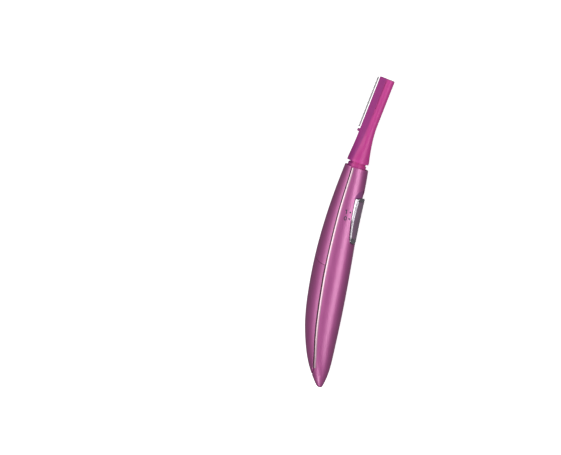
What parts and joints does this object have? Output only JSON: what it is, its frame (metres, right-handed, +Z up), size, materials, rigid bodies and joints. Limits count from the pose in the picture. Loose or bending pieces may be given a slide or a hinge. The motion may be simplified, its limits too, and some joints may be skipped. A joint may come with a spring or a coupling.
{
  "type": "facial hair trimmer",
  "caption": "Slim battery facial hair trimmer: a curved two-shell handle with a battery cover and thumb switch, and a pull-off cutting head on a rocking neck.",
  "frame": {"origin": "on the surface that the trimmer lies on, under the middle of its bounding box", "axes": "+Y along the handle from its tip to the head, +X to the switch side, +Z up, square to the plane in which the handle curves"},
  "size_m": [0.0246, 0.1595, 0.0168],
  "materials": {
    "body_pink": "pearl metallic pink lacquer",
    "head_magenta": "satin moulded magenta",
    "bezel_chrome": "bright plating",
    "lens_smoke": "smoked mauve, polished",
    "blade_steel": "ground stainless steel",
    "inner_plastic": "moulded",
    "circuit_board": "solder mask",
    "copper": "bare strip",
    "nickel_strip": "nickel plated",
    "motor_steel": "drawn can",
    "screw_steel": "zinc plated",
    "cell_jacket": "plain printed sleeve",
    "mark_ink": "printed ink"
  },
  "bodies": {
    "handle": {"front_shell": "body_pink", "back_shell": "body_pink", "chassis": "inner_plastic", "chassis_screws": "screw_steel", "aaa_cell": "cell_jacket", "positive_contact": "nickel_strip", "negative_contact": "nickel_strip", "negative_spring": "nickel_strip", "negative_lead": "copper", "positive_lead": "copper", "motor_lead": "copper", "switch_board": "circuit_board", "switch_contacts": "copper", "motor_can": "motor_steel", "motor_end_cap": "inner_plastic", "motor_terminals": "copper", "switch_marks": "mark_ink", "neck_return_leaf": "nickel_strip"},
    "cover": {"battery_cover": "body_pink"},
    "switch": {"switch_bezel": "bezel_chrome", "switch_lens": "lens_smoke", "switch_slider": "inner_plastic", "switch_wiper": "copper"},
    "rotor": {"motor_shaft": "motor_steel", "motor_armature": "motor_steel", "crank_hub": "inner_plastic", "crank_pin": "motor_steel"},
    "rocking_neck": {"neck": "head_magenta", "neck_pins": "screw_steel"},
    "head": {"head_upper_half": "head_magenta", "head_lower_half": "head_magenta", "comb_stop_knob": "head_magenta", "lever_pin": "screw_steel", "fixed_blade": "blade_steel", "blade_screws": "screw_steel", "blade_leaf_spring": "nickel_strip"},
    "lever": {"drive_lever": "inner_plastic"},
    "cutter": {"moving_blade": "blade_steel", "blade_carrier": "inner_plastic"}
  },
  "joints": [
    {"name": "battery_cover_slide", "type": "slide", "parent": "handle", "child": "cover", "axis": [-0.6157, -0.788, 0], "range_m": [0, 0.03]},
    {"name": "power_switch", "type": "slide", "parent": "handle", "child": "switch", "axis": [0, 1, 0], "range_m": [0, 0.0026]},
    {"name": "motor_spin", "type": "hinge", "parent": "handle", "child": "rotor", "pos_m": [0, 0, 0.0084], "axis": [0, 1, 0], "continuous": true},
    {"name": "neck_rock", "type": "hinge", "parent": "handle", "child": "rocking_neck", "pos_m": [0, 0.03, 0.0084], "axis": [0, 0, 1], "range_deg": [-7, 7], "stiffness_Nm_per_rad": 0.15},
    {"name": "head_pull", "type": "slide", "parent": "rocking_neck", "child": "head", "axis": [0.2045, 0.9789, 0], "range_m": [0, 0.016]},
    {"name": "lever_swing", "type": "hinge", "parent": "head", "child": "lever", "pos_m": [0.00366, 0.04068, 0.0084], "axis": [0, 0, 1], "range_deg": [-2.6, 2.6]},
    {"name": "blade_slide", "type": "slide", "parent": "head", "child": "cutter", "axis": [0.2045, 0.9789, 0], "range_m": [-0.000249, 0.000249]}
  ],
  "couplings": [
    {"joint": "lever_swing", "follows": "blade_slide", "rad_per_m": -181.82}
  ]
}
